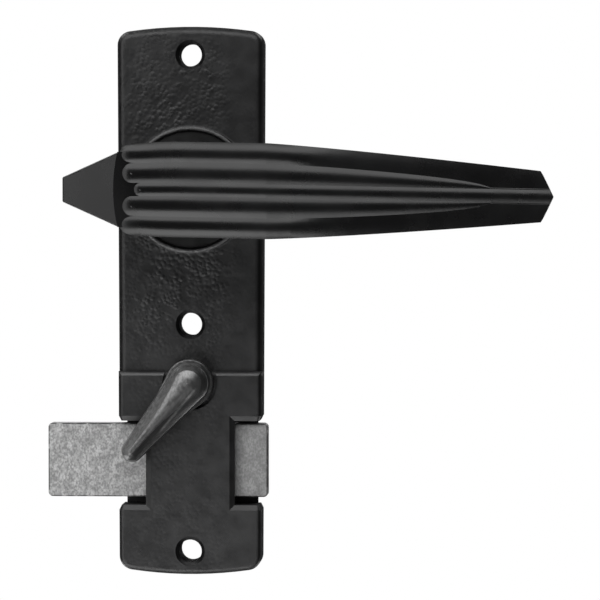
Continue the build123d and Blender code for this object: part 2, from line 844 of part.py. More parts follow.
# Cone washer that keeps the snib from rattling
with BuildPart() as cone_washer:
    cone_inner = snib_shaft_radius + running_clearance
    cone_back = crank_front + seat_gap / 2
    with BuildSketch(Plane.XY.offset(snib_axis)):
        with BuildLine():
            Polyline(
                (cone_inner, -cone_back - cone_washer_rise),
                (cone_inner + cone_washer_width, -cone_back),
                (cone_inner + cone_washer_width, -cone_back - cone_washer_thickness),
                (cone_inner, -cone_back - cone_washer_rise - cone_washer_thickness),
                close=True,
            )
        make_face()
    revolve(axis=Axis((0, 0, snib_axis), (0, 1, 0)))
cone_washer.part.label = "cone_washer"
export_step(cone_washer.part, "parts/cone_washer.step")

# Crank with the finger that drives the bolt
with BuildPart() as snib_crank:
    with BuildSketch(snib_plane.offset(crank_back)):
        Circle(crank_hub_radius)
        Rectangle(finger_neck_width, crank_reach, align=(Align.CENTER, Align.MAX))
        with Locations((0, -crank_reach)):
            Circle(finger_tip_radius)
        add(
            flatted_shaft(Plane.XY, snib_shaft_radius + running_clearance, snib_flat + running_clearance),
            mode=Mode.SUBTRACT,
        )
    extrude(amount=crank_thickness)
snib_crank.part.label = "snib_crank"
export_step(snib_crank.part, "parts/snib_crank.step")

# Clip on the end of the snib shaft
with BuildPart() as snib_clip:
    clip_inner = snib_shaft_radius - clip_bite + running_clearance
    extrude(
        ring_with_mouth(snib_plane.offset(clip_back), clip_inner, clip_inner + clip_width, clip_mouth),
        amount=clip_thickness,
    )
snib_clip.part.label = "snib_clip"
export_step(snib_clip.part, "parts/snib_clip.step")

# Night bolt: a plain bar with an open slot for the finger
with BuildPart() as bolt_bar:
    with BuildSketch(Plane.XZ.offset(bolt_back)):
        with Locations((bolt_rest, bolt_axis)):
            RectangleRounded(bolt_length, bolt_height, bolt_corner_radius)
    extrude(amount=bolt_thickness)
    front_face = bolt_bar.faces().sort_by(Axis.Y)[0]
    back_face = bolt_bar.faces().sort_by(Axis.Y)[-1]
    fillet(front_face.edges() + back_face.edges(), bolt_edge_radius)
    slot_half = finger_tip_radius + finger_play
    slot_foot = snib_axis - crank_reach - finger_tip_radius - finger_play
    with BuildSketch(Plane.XZ):
        with Locations((bolt_rest, slot_foot)):
            Rectangle(2 * slot_half, bolt_height, align=(Align.CENTER, Align.MIN))
    extrude(amount=housing_front, mode=Mode.SUBTRACT)
bolt_bar.part.label = "bolt_bar"
export_step(bolt_bar.part, "parts/bolt_bar.step")

# Bow spring that holds the bolt up against its guide
with BuildPart() as bow_spring:
    bow_half = bridge_half_width - bow_stop_width - bow_end_gap
    bow_foot = window_bottom + seat_gap
    bow_rise = bolt_bottom - bow_gap - bow_thickness - bow_foot
    with BuildSketch(Plane.XZ.offset((bolt_back + bolt_front - bow_width) / 2)):
        with BuildLine():
            under = SagittaArc((-bow_half, bow_foot), (bow_half, bow_foot), bow_rise)
            over = SagittaArc(
                (-bow_half, bow_foot + bow_thickness), (bow_half, bow_foot + bow_thickness), bow_rise
            )
            Line(under @ 0, over @ 0)
            Line(under @ 1, over @ 1)
        make_face()
    extrude(amount=bow_width)
bow_spring.part.label = "bow_spring"
export_step(bow_spring.part, "parts/bow_spring.step")
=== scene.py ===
"""Looks of a storm door lever latch: hammered plate, reeded lever, thumb snib and night bolt."""

import json
import logging
import math
from abc import ABC, abstractmethod
from dataclasses import dataclass, field
from enum import Enum

import bpy
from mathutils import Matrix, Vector


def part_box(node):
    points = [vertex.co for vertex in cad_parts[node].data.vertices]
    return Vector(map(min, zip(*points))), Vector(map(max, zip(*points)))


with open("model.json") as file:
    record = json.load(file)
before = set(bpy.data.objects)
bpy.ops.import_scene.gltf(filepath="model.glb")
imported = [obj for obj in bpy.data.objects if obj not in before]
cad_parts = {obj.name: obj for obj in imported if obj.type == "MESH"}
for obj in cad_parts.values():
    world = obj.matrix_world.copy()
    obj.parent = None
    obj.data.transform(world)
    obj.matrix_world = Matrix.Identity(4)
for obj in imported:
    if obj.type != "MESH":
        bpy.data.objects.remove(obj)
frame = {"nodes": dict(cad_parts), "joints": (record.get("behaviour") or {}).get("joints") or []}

log = logging.getLogger("storm_door_latch")

Pair = tuple[float, float]
Triple = tuple[float, float, float]
Colour = Triple
Socket = bpy.types.NodeSocket

MM = 0.001
WHITE_LIGHT = (1.0, 1.0, 1.0, 1.0)
RISE: Pair = (0.0, 1.0)
FALL: Pair = (1.0, 0.0)
# Values that most of a noise lies between.
MOST_NOISE: Pair = (0.3, 0.7)
# Scale that leaves out the depth, so that a length is a radius about the lever's axis.
NO_DEPTH: Triple = (1.0, 0.0, 1.0)


class Node(Enum):
    """Solids of the latch, by the name each one has in the frame."""

    PLATE = "escutcheon_plate"
    LEVER = "main_lever"
    GRUB_SCREW = "grub_screw"
    THRUST_WASHER = "thrust_washer"
    SPRING_CAM = "spring_cam"
    SNAP_RING = "snap_ring"
    RETURN_SPRING = "return_spring"
    SNIB = "snib_lever"
    CONE_WASHER = "cone_washer"
    SNIB_CRANK = "snib_crank"
    SNIB_CLIP = "snib_clip"
    BOLT = "bolt_bar"
    BOW_SPRING = "bow_spring"


class Axis(Enum):
    """Axes of the latch: across it to the right, into the door, and up."""

    X = "X"
    Y = "Y"
    Z = "Z"


class Pattern(Enum):
    """Procedural patterns that a finish can draw on."""

    NOISE = "ShaderNodeTexNoise"
    CELLS = "ShaderNodeTexVoronoi"


class Join(Enum):
    """Ways to make one value out of two."""

    PRODUCT = "MULTIPLY"
    LARGEST = "MAXIMUM"


@dataclass
class NodeGraph:
    """Node tree of one finish, with short ways to add and join its nodes.

    Attributes:
        name: Name of the material.
        material: The material itself.
        tree: Its node tree.
        shader: Its shader.
        place: The place on the piece, in metres.
        normal: The direction that the face looks in.
    """

    name: str
    material: bpy.types.Material = field(init=False)
    tree: bpy.types.NodeTree = field(init=False)
    shader: bpy.types.Node = field(init=False)
    place: Socket = field(init=False)
    normal: Socket = field(init=False)

    def __post_init__(self) -> None:
        """Make the material with its shader, and find the place and the normal on the piece."""
        self.material = bpy.data.materials.new(self.name)
        self.material.use_nodes = True
        self.tree = self.material.node_tree
        self.tree.nodes.clear()
        output = self.add("ShaderNodeOutputMaterial")
        self.shader = self.add("ShaderNodeBsdfPrincipled")
        self.join(self.shader.outputs["BSDF"], output.inputs["Surface"])
        coordinates = self.add("ShaderNodeTexCoord")
        self.place = coordinates.outputs["Object"]
        self.normal = coordinates.outputs["Normal"]

    def add(self, kind: str) -> bpy.types.Node:
        """Add a node of a kind and return it."""
        return self.tree.nodes.new(kind)

    def join(self, source: Socket, target: Socket) -> None:
        """Link an output to an input."""
        self.tree.links.new(source, target)

    def feed(self, name: str, source: Socket) -> None:
        """Link an output to an input of the shader."""
        self.join(source, self.shader.inputs[name])

    def hold(self, name: str, number: float) -> None:
        """Set an input of the shader that is the same all over the piece."""
        self.shader.inputs[name].default_value = number

    def coordinate(self, axis: Axis) -> Socket:
        """Return the place on the piece along an axis.

        Args:
            axis: The axis.

        Returns:
            The place, in metres.
        """
        split = self.add("ShaderNodeSeparateXYZ")
        self.join(self.place, split.inputs["Vector"])
        return split.outputs[axis.value]

    def distance(self, direction: Vector, start: Vector) -> Socket:
        """Return how far a place on the piece lies along a direction.

        Args:
            direction: The direction, of length 1.
            start: Point that the distance counts from, in metres.

        Returns:
            The distance, in metres.
        """
        away = self.add("ShaderNodeVectorMath")
        away.operation = "SUBTRACT"
        away.inputs[1].default_value = start
        self.join(self.place, away.inputs[0])
        along = self.add("ShaderNodeVectorMath")
        along.operation = "DOT_PRODUCT"
        along.inputs[1].default_value = direction
        self.join(away.outputs["Vector"], along.inputs[0])
        return along.outputs["Value"]

    def facing(self, axis: Axis) -> Socket:
        """Return how squarely a face looks along an axis, one way or the other.

        Args:
            axis: The axis.

        Returns:
            1 for a face square to the axis, 0 for one that lies along it.
        """
        split = self.add("ShaderNodeSeparateXYZ")
        self.join(self.normal, split.inputs["Vector"])
        size = self.add("ShaderNodeMath")
        size.operation = "ABSOLUTE"
        self.join(split.outputs[axis.value], size.inputs[0])
        return size.outputs["Value"]

    def radius(self) -> Socket:
        """Return how far a place on the piece lies from the lever's axis.

        Returns:
            The radius, in metres.
        """
        length = self.add("ShaderNodeVectorMath")
        length.operation = "LENGTH"
        self.join(self.stretched(NO_DEPTH), length.inputs[0])
        return length.outputs["Value"]

    def stretched(self, stretch: Triple) -> Socket:
        """Return the place on the piece, stretched along its axes.

        Args:
            stretch: Scale along each axis before a pattern reads the place.

        Returns:
            The stretched place.
        """
        mapping = self.add("ShaderNodeMapping")
        mapping.inputs["Scale"].default_value = stretch
        self.join(self.place, mapping.inputs["Vector"])
        return mapping.outputs["Vector"]

    def pattern(self, kind: Pattern, grain: float, detail: float = 3.0, at: Socket | None = None) -> Socket:
        """Return a pattern of a given grain.

        Args:
            kind: Noise for clouds and specks, cells for beads of paint.
            grain: Width of the pattern's features, in metres.
            detail: Octaves of finer noise, or softness of the cells.
            at: Place that the pattern reads, or the piece's own place.

        Returns:
            The pattern's value.
        """
        texture = self.add(kind.value)
        texture.inputs["Scale"].default_value = 1.0 / grain
        self.join(self.place if at is None else at, texture.inputs["Vector"])
        if kind is Pattern.NOISE:
            texture.inputs["Detail"].default_value = detail
            return texture.outputs["Fac"]
        texture.feature = "SMOOTH_F1"
        texture.inputs["Smoothness"].default_value = detail
        return texture.outputs["Distance"]

    def spread(self, value: Socket, start: Pair, end: Pair = RISE) -> Socket:
        """Return a value spread smoothly from one range to another, held at its ends.

        Args:
            value: The value.
            start: Range that the value comes from.
            end: Range that it goes to.

        Returns:
            The spread value.
        """
        spread = self.add("ShaderNodeMapRange")
        spread.interpolation_type = "SMOOTHSTEP"
        for name, number in zip(("From Min", "From Max", "To Min", "To Max"), (*start, *end)):
            spread.inputs[name].default_value = number
        self.join(value, spread.inputs["Value"])
        return spread.outputs["Result"]

    def band(self, value: Socket, middle: float, half: float) -> Socket:
        """Return a band of a value.

        Args:
            value: The value.
            middle: The value in the middle of the band.
            half: Half the width of the band.

        Returns:
            1 in the middle of the band, fading to 0 at its edges.
        """
        rising = self.spread(value, (middle - half, middle), RISE)
        falling = self.spread(value, (middle, middle + half), FALL)
        return self.joined(Join.PRODUCT, rising, falling)

    def joined(self, way: Join, first: Socket, *others: Socket) -> Socket:
        """Return one value made out of several.

        Args:
            way: How each value is joined to the next.
            first: The first value.
            others: The values after it.

        Returns:
            The joined value.
        """
        total = first
        for other in others:
            pair = self.add("ShaderNodeMath")
            pair.operation = way.value
            self.join(total, pair.inputs[0])
            self.join(other, pair.inputs[1])
            total = pair.outputs["Value"]
        return total

    def shades(self, value: Socket, dark: Colour | Socket, light: Colour | Socket) -> Socket:
        """Return a colour between two shades.

        Args:
            value: Share of the second shade, from 0 to 1.
            dark: The first shade, plain or already mixed.
            light: The second shade, plain or already mixed.

        Returns:
            The colour.
        """
        mix = self.add("ShaderNodeMix")
        mix.data_type = "RGBA"
        for name, shade in (("A", dark), ("B", light)):
            if isinstance(shade, Socket):
                self.join(shade, mix.inputs[name])
            else:
                mix.inputs[name].default_value = (*shade, 1.0)
        self.join(value, mix.inputs["Factor"])
        return mix.outputs["Result"]

    def relief(self, height: Socket, depth: float, share: float = 1.0, over: Socket | None = None) -> Socket:
        """Return a normal with a relief pressed into it.

        Args:
            height: The relief's height, from 0 to 1.
            depth: Depth of the full relief, in metres.
            share: Share of the relief that shows.
            over: Normal that this relief lies on.

        Returns:
            The normal with its relief.
        """
        bump = self.add("ShaderNodeBump")
        bump.inputs["Distance"].default_value = depth
        bump.inputs["Strength"].default_value = share
        self.join(height, bump.inputs["Height"])
        if over is not None:
            self.join(over, bump.inputs["Normal"])
        return bump.outputs["Normal"]

    def dress(self, piece: bpy.types.Object) -> None:
        """Give the finish to a piece."""
        piece.data.materials.clear()
        piece.data.materials.append(self.material)


@dataclass(frozen=True)
class HammeredPaint:
    """Black paint that dried in small beads over a zinc casting.

    Attributes:
        dark: Shade of the paint in its darker clouds.
        light: Shade of the paint in its lighter clouds.
        foot_painted_light: Shade of the lighter clouds at the plate's foot, a painted light that grows
            towards the foot.
        painted_highlight: Colour of the highlights painted on the collar's rim and on the housing's upper
            edge.
        painted_shade: Colour of the shade painted on the edges turned to the sides and in the dish.
        bead: Spacing of the beads, in metres.
        bead_depth: Height of the beads, in metres.
        bead_reach: Radius of a bead, as a share of the spacing.
        bead_softness: How softly the beads run into each other, from 0 to 1.
        gap: Width of the bare places between the beads, in metres.
        gap_detail: Octaves of finer bare places.
        gap_range: Values of their noise from a bare place to a full bead.
        patch: Width of the patches that the beads lie in, in metres.
        patch_detail: Octaves of finer patches.
        patch_range: Values of their noise from a thin patch to a thick one.
        patch_least: Share of the beads' height in a thin patch.
        cloud: Width of the clouds, in metres.
        cloud_depth: Height of the clouds' soft waves, in metres.
        roughness: Roughness of the darker and of the lighter clouds.
    """

    dark: Colour = (0.017, 0.017, 0.0175)
    light: Colour = (0.03, 0.03, 0.0305)
    foot_painted_light: Colour = (0.042, 0.042, 0.0425)
    painted_highlight: Colour = (0.12, 0.12, 0.121)
    painted_shade: Colour = (0.003, 0.003, 0.003)
    bead: float = 1.0 * MM
    bead_depth: float = 0.17 * MM
    bead_reach: float = 0.9
    bead_softness: float = 0.3
    gap: float = 2.5 * MM
    gap_detail: float = 0.0
    gap_range: Pair = (0.2, 0.5)
    patch: float = 9.0 * MM
    patch_detail: float = 1.0
    patch_range: Pair = (0.34, 0.6)
    patch_least: float = 0.45
    cloud: float = 3.5 * MM
    cloud_depth: float = 0.06 * MM
    roughness: Pair = (0.38, 0.48)

    def clouds(self, graph: NodeGraph) -> Socket:
        """Return the clouds of the paint."""
        return graph.pattern(Pattern.NOISE, self.cloud)

    def lay_beads(self, graph: NodeGraph, clouds: Socket, thick: Socket) -> None:
        """Raise the beads over the soft waves of the paint.

        Args:
            graph: Node graph of the paint.
            clouds: The clouds of the paint.
            thick: How thickly the beads lie, from 0 to 1.
        """
        cells = graph.pattern(Pattern.CELLS, self.bead, self.bead_softness)
        domes = graph.spread(cells, (0.0, self.bead_reach), FALL)
        gaps = graph.spread(graph.pattern(Pattern.NOISE, self.gap, self.gap_detail), self.gap_range)
        patchy = graph.pattern(Pattern.NOISE, self.patch, self.patch_detail)
        patches = graph.spread(patchy, self.patch_range, (self.patch_least, 1.0))
        beads = graph.joined(Join.PRODUCT, domes, gaps, patches, thick)
        waves = graph.relief(clouds, self.cloud_depth)
        graph.feed("Normal", graph.relief(beads, self.bead_depth, over=waves))

    def lay_shades(self, graph: NodeGraph, clouds: Socket, foot: Socket, painted_highlight: Socket, painted_shade: Socket) -> None:
        """Colour the paint, with painted light, painted highlights and painted shade.

        Args:
            graph: Node graph of the paint.
            clouds: The clouds of the paint.
            foot: How far down to the plate's foot a place lies, from 0 to 1, which sets the painted light
                there.
            painted_highlight: Share of the painted highlight, from 0 to 1.
            painted_shade: Share of the painted shade, from 0 to 1.
        """
        # Painted light: the paint grows lighter towards the plate's foot.
        lighter = graph.shades(foot, self.light, self.foot_painted_light)
        clouded = graph.shades(clouds, self.dark, lighter)
        # Painted highlights on the collar's rim and on the housing's upper edge.
        edged = graph.shades(painted_highlight, clouded, self.painted_highlight)
        # Painted shade on the edges turned to the sides, and a painted shadow in the dish.
        graph.feed("Base Color", graph.shades(painted_shade, edged, self.painted_shade))
        graph.feed("Roughness", graph.spread(clouds, MOST_NOISE, self.roughness))


@dataclass(frozen=True)
class SatinPaint:
    """Smooth satin black paint with a faint orange peel.

    Attributes:
        dark: Shade of the paint in its darker clouds.
        light: Shade of the paint in its lighter clouds.
        peel: Width of the orange peel's dimples, in metres.
        peel_detail: Octaves of finer dimples.
        peel_depth: Depth of the dimples, in metres.
        peel_share: Share of that depth that shows.
        cloud: Width of the clouds, in metres.
        cloud_range: Values of the clouds between which the roughness changes.
        roughness: Roughness of the darker and of the lighter clouds.
    """

    dark: Colour = (0.0045, 0.0045, 0.0047)
    light: Colour = (0.007, 0.007, 0.0073)
    peel: float = 1.1 * MM
    peel_detail: float = 2.0
    peel_depth: float = 0.02 * MM
    peel_share: float = 0.35
    cloud: float = 15.4 * MM
    cloud_range: Pair = (0.35, 0.65)
    roughness: Pair = (0.24, 0.32)

    def graph(self) -> NodeGraph:
        """Return the node graph of the paint.

        Returns:
            The node graph.
        """
        graph = NodeGraph("satin_black_paint")
        peel = graph.pattern(Pattern.NOISE, self.peel, self.peel_detail)
        clouds = graph.pattern(Pattern.NOISE, self.cloud)
        graph.feed("Normal", graph.relief(peel, self.peel_depth, self.peel_share))
        graph.feed("Base Color", graph.shades(clouds, self.dark, self.light))
        graph.feed("Roughness", graph.spread(clouds, self.cloud_range, self.roughness))
        return graph


@dataclass(frozen=True)
class SatinNickel:
    """Dark satin nickel with fine streaks, brighter where light is painted on.

    Attributes:
        dull: Shade of the metal where no light is painted on.
        bright: Shade of the metal under the full painted light.
        metallic: Share of metal in the look.
        streak: Width of the streaks, in metres.
        streak_stretch: Scale of the streaks along each axis.
        streak_range: Values of the streaks' noise from a dull streak to a bright one.
        streak_least: Share of the painted light in a dull streak.
        streak_depth: Depth of the streaks, in metres.
        streak_share: Share of that depth that shows.
        roughness: Roughness of the dull and of the bright streaks.
    """

    dull: Colour = (0.06, 0.06, 0.06)
    bright: Colour = (0.33, 0.33, 0.33)
    metallic: float = 0.5
    streak: float = 0.5 * MM
    streak_stretch: Triple = (0.7, 1.0, 0.5)
    streak_range: Pair = (0.36, 0.64)
    streak_least: float = 0.5
    streak_depth: float = 0.012 * MM
    streak_share: float = 0.4
    roughness: Pair = (0.28, 0.4)

    def lay(self, graph: NodeGraph, painted_light: Socket) -> None:
        """Lay the metal's shades and streaks.

        Args:
            graph: Node graph of the metal.
            painted_light: How much light is painted on a place, from 0 to 1.
        """
        graph.hold("Metallic", self.metallic)
        streaks = graph.pattern(Pattern.NOISE, self.streak, at=graph.stretched(self.streak_stretch))
        streaked = graph.spread(streaks, self.streak_range, (self.streak_least, 1.0))
        # Painted light on the snib, broken up by the streaks.
        shine = graph.joined(Join.PRODUCT, painted_light, streaked)
        graph.feed("Base Color", graph.shades(shine, self.dull, self.bright))
        graph.feed("Roughness", graph.spread(streaks, MOST_NOISE, self.roughness))
        graph.feed("Normal", graph.relief(streaks, self.streak_depth, self.streak_share))


@dataclass(frozen=True)
class SpeckledZinc:
    """Dull zinc plate, finely speckled, with painted shade along the edges.

    Attributes:
        dark: Shade of the specks.
        light: Shade of the plating.
        edge: Colour of the shade painted along the edges.
        metallic: Share of metal in the look.
        speck: Width of the specks, in metres.
        speck_detail: Octaves of finer specks.
        speck_stretch: Scale of the specks along each axis.
        speck_range: Values of the specks' noise from a dark speck to a light one.
        speck_shades: Share of the light shade in a dark speck and in a light one.
        speck_depth: Depth of the specks, in metres.
        speck_share: Share of that depth that shows.
        cloud: Width of the clouds, in metres.
        cloud_detail: Octaves of finer clouds.
        cloud_range: Values of the clouds from a dark one to a light one.
        cloud_least: Share of the light shade in a dark cloud.
        ragged_range: Values of the clouds that make the painted edge shade ragged.
        ragged_shades: Share of the plating's own shade left on an edge at those values, under the painted
            shade.
        edge_shade_range: Shares of the plating between which the painted edge shade fades out.
        roughness: Roughness of the dark and of the light clouds.
    """

    dark: Colour = (0.2, 0.2, 0.2)
    light: Colour = (0.62, 0.62, 0.62)
    edge: Colour = (0.03, 0.03, 0.03)
    metallic: float = 0.2
    speck: float = 0.45 * MM
    speck_detail: float = 5.0
    speck_stretch: Triple = (1.1, 1.0, 0.8)
    speck_range: Pair = (0.34, 0.66)
    speck_shades: Pair = (0.26, 1.08)
    speck_depth: float = 0.02 * MM
    speck_share: float = 0.5
    cloud: float = 2.2 * MM
    cloud_detail: float = 4.0
    cloud_range: Pair = (0.36, 0.62)
    cloud_least: float = 0.55
    ragged_range: Pair = (0.35, 0.65)
    ragged_shades: Pair = (0.1, 0.8)
    edge_shade_range: Pair = (0.3, 0.95)
    roughness: Pair = (0.45, 0.62)

    def lay(self, graph: NodeGraph, lit_share: Socket, inside: Socket) -> None:
        """Lay the plating's shades and specks.

        Args:
            graph: Node graph of the plating.
            lit_share: Share of the plating's brightness left under the painted shade.
            inside: How far inside the painted edge shade a place lies, from 0 to 1.
        """
        graph.hold("Metallic", self.metallic)
        at = graph.stretched(self.speck_stretch)
        specks = graph.pattern(Pattern.NOISE, self.speck, self.speck_detail, at)
        clouds = graph.pattern(Pattern.NOISE, self.cloud, self.cloud_detail)
        speckled = graph.spread(specks, self.speck_range, self.speck_shades)
        clouded = graph.spread(clouds, self.cloud_range, (self.cloud_least, 1.0))
        # Painted shade: the plating darkens towards the bolt's right end.
        plating = graph.joined(Join.PRODUCT, speckled, clouded, lit_share)
        plated = graph.shades(plating, self.dark, self.light)
        # Painted shade along the edges of the broad faces, made ragged by the clouds.
        ragged = graph.spread(clouds, self.ragged_range, self.ragged_shades)
        whole = graph.spread(graph.joined(Join.LARGEST, inside, ragged), self.edge_shade_range)
        graph.feed("Base Color", graph.shades(whole, self.edge, plated))
        graph.feed("Roughness", graph.spread(clouds, MOST_NOISE, self.roughness))
        graph.feed("Normal", graph.relief(specks, self.speck_depth, self.speck_share))


@dataclass(frozen=True)
class MetalFinish:
    """Bare or plated metal with specks, clouds and a fine grain.

    Attributes:
        name: Name of the finish.
        dark: Darker shade of the metal.
        light: Lighter shade of the metal.
        speck: Width of the specks, in metres.
        cloud: Width of the clouds, in metres.
        metallic: Share of metal in the look.
        roughness: Roughness of the dark and of the light clouds.
        speck_least: Share of the light shade in a dark speck.
        cloud_range: Values of the clouds from a dark one to a light one.
        cloud_least: Share of the light shade in a dark cloud.
        grain_depth: Depth of the grain, in metres.
        grain_share: Share of that depth that shows.
    """

    name: str
    dark: Colour
    light: Colour
    speck: float
    cloud: float
    metallic: float
    roughness: Pair
    speck_least: float = 0.55
    cloud_range: Pair = (0.25, 0.75)
    cloud_least: float = 0.6
    grain_depth: float = 0.015 * MM
    grain_share: float = 0.4

    def graph(self) -> NodeGraph:
        """Return the node graph of the metal.

        Returns:
            The node graph.
        """
        graph = NodeGraph(self.name)
        graph.hold("Metallic", self.metallic)
        specks = graph.pattern(Pattern.NOISE, self.speck)
        clouds = graph.pattern(Pattern.NOISE, self.cloud)
        speckled = graph.spread(specks, MOST_NOISE, (self.speck_least, 1.0))
        clouded = graph.spread(clouds, self.cloud_range, (self.cloud_least, 1.0))
        shade = graph.joined(Join.PRODUCT, speckled, clouded)
        graph.feed("Base Color", graph.shades(shade, self.dark, self.light))
        graph.feed("Roughness", graph.spread(clouds, MOST_NOISE, self.roughness))
        graph.feed("Normal", graph.relief(specks, self.grain_depth, self.grain_share))
        return graph


@dataclass(frozen=True)
class Nylon:
    """Natural nylon, faintly mottled.

    Attributes:
        dark: Darker shade of the nylon.
        light: Lighter shade of the nylon.
        mottle: Width of the mottles, in metres.
        mottle_depth: Depth of the mottles, in metres.
        mottle_share: Share of that depth that shows.
        roughness: Roughness of the nylon.
    """

    dark: Colour = (0.62, 0.6, 0.52)
    light: Colour = (0.74, 0.72, 0.66)
    mottle: float = 2.0 * MM
    mottle_depth: float = 0.02 * MM
    mottle_share: float = 0.3
    roughness: float = 0.45

    def graph(self) -> NodeGraph:
        """Return the node graph of the nylon.

        Returns:
            The node graph.
        """
        graph = NodeGraph("natural_nylon")
        graph.hold("Roughness", self.roughness)
        mottles = graph.pattern(Pattern.NOISE, self.mottle)
        graph.feed("Base Color", graph.shades(mottles, self.dark, self.light))
        graph.feed("Normal", graph.relief(mottles, self.mottle_depth, self.mottle_share))
        return graph


SPRING_STEEL = MetalFinish(
    name="spring_steel",
    dark=(0.25, 0.25, 0.26),
    light=(0.5, 0.5, 0.51),
    speck=0.4 * MM,
    cloud=3.0 * MM,
    metallic=1.0,
    roughness=(0.28, 0.4),
)
PASSIVATE = MetalFinish(
    name="yellow_passivate",
    dark=(0.42, 0.36, 0.22),
    light=(0.66, 0.6, 0.44),
    speck=0.4 * MM,
    cloud=4.0 * MM,
    metallic=0.9,
    roughness=(0.3, 0.45),
)
BLACK_OXIDE = MetalFinish(
    name="black_oxide",
    dark=(0.03, 0.03, 0.032),
    light=(0.1, 0.1, 0.105),
    speck=0.3 * MM,
    cloud=3.0 * MM,
    metallic=0.8,
    roughness=(0.35, 0.5),
)


@dataclass(frozen=True)
class SubAssembly(ABC):
    """Solids of the latch that keep their shape and are dressed together.

    Attributes:
        title: What the log calls them.
        nodes: The solids.
    """

    title: str
    nodes: tuple[Node, ...]

    @abstractmethod
    def graph(self) -> NodeGraph:
        """Return the node graph of their finish."""

    def dress(self) -> list[bpy.types.Object]:
        """Give the finish to each solid.

        Returns:
            The dressed solids.
        """
        graph = self.graph()
        pieces = [frame["nodes"][node.value] for node in self.nodes]
        for piece in pieces:
            graph.dress(piece)
        return pieces


@dataclass(frozen=True)
class EscutcheonPlate(SubAssembly):
    """Plate with the collar round the lever's axis and the housing of the bolt.

    Attributes:
        paint: Its finish.
        beaded_at: Height at which the beads lie thickest, in metres.
        beaded_half: Distance above and below there at which they lie thinnest, in metres.
        beaded_full: Share of that fade at which the beads have their full height.
        beaded_least: Share of the beads' height at the plate's two ends.
        thick_at: Distance to the side at which the beads lie thickest, in metres.
        thick_half: Distance to each side of there at which they lie thinnest, in metres.
        thick_full: Share of that fade at which the beads have their full height.
        thick_least: Share of the beads' height at the plate's sides.
        foot: Heights at which the painted light towards the foot is strongest and at which the paint has its
            full depth, in metres.
        dish: Radius of the smooth dish inside the collar, in metres.
        dish_edge: Width over which the dish ends, in metres.
        dish_shadow: Share of the darkest shade in the dish, a painted shadow of the lever.
        collar: Radius of the highlight painted on the collar's rim, in metres.
        collar_half: Half the width of that painted highlight, in metres.
        step: Height of the highlight painted on the housing's upper edge, in metres.
        step_half: Half the width of that painted highlight, in metres.
        turned_at: How far an edge has turned to the side where its painted shade is darkest, from 0 to 1.
        turned_half: How much more or less it has turned where the paint has its own shade, without painted
            shade.
    """

    title: str = "escutcheon plate"
    nodes: tuple[Node, ...] = (Node.PLATE,)
    paint: HammeredPaint = HammeredPaint()
    beaded_at: float = -2.0 * MM
    beaded_half: float = 60.0 * MM
    beaded_full: float = 0.75
    beaded_least: float = 0.3
    thick_at: float = -3.5 * MM
    thick_half: float = 19.0 * MM
    thick_full: float = 0.7
    thick_least: float = 0.15
    foot: Pair = (-85.0 * MM, -55.0 * MM)
    dish: float = 14.0 * MM
    dish_edge: float = 0.6 * MM
    dish_shadow: float = 0.75
    collar: float = 14.95 * MM
    collar_half: float = 0.85 * MM
    step: float = -44.3 * MM
    step_half: float = 0.6 * MM
    turned_at: float = 0.62
    turned_half: float = 0.42

    def beaded(self, graph: NodeGraph) -> Socket:
        """Return how thickly the beads lie: most round the lever, least at the ends and sides.

        Args:
            graph: Node graph of the paint.

        Returns:
            The share of the beads' height, from 0 to 1.
        """
        up = graph.band(graph.coordinate(Axis.Z), self.beaded_at, self.beaded_half)
        across = graph.band(graph.coordinate(Axis.X), self.thick_at, self.thick_half)
        tall = graph.spread(up, (0.0, self.beaded_full), (self.beaded_least, 1.0))
        wide = graph.spread(across, (0.0, self.thick_full), (self.thick_least, 1.0))
        return graph.joined(Join.PRODUCT, tall, wide)

    def graph(self) -> NodeGraph:
        """Return the node graph of the paint, with painted highlights on two edges, painted shade on the
        sides and a painted shadow in the dish.

        Returns:
            The node graph.
        """
        graph = NodeGraph("hammered_black_paint")
        height = graph.coordinate(Axis.Z)
        radius = graph.radius()
        clouds = self.paint.clouds(graph)
        dish_end = (self.dish, self.dish + self.dish_edge)
        outside = graph.spread(radius, dish_end)
        self.paint.lay_beads(graph, clouds, graph.joined(Join.PRODUCT, outside, self.beaded(graph)))
        # Painted light towards the plate's foot.
        foot = graph.spread(height, self.foot, FALL)
        # Painted highlights on the collar's rim and on the housing's upper edge.
        collar = graph.band(radius, self.collar, self.collar_half)
        step = graph.band(height, self.step, self.step_half)
        painted_highlight = graph.joined(Join.LARGEST, collar, step)
        # Painted shade on the edges turned to the sides, and a painted shadow of the lever in the dish.
        turned = graph.band(graph.facing(Axis.X), self.turned_at, self.turned_half)
        sides = graph.joined(Join.PRODUCT, turned, outside)
        dished = graph.spread(radius, dish_end, (self.dish_shadow, 0.0))
        painted_shade = graph.joined(Join.LARGEST, sides, dished)
        self.paint.lay_shades(graph, clouds, foot, painted_highlight, painted_shade)
        return graph


@dataclass(frozen=True)
class ReededLever(SubAssembly):
    """Lever with its reeded grip and latch nose.

    Attributes:
        paint: Its finish.
    """

    title: str = "lever"
    nodes: tuple[Node, ...] = (Node.LEVER,)
    paint: SatinPaint = SatinPaint()

    def graph(self) -> NodeGraph:
        """Return the node graph of the paint."""
        return self.paint.graph()


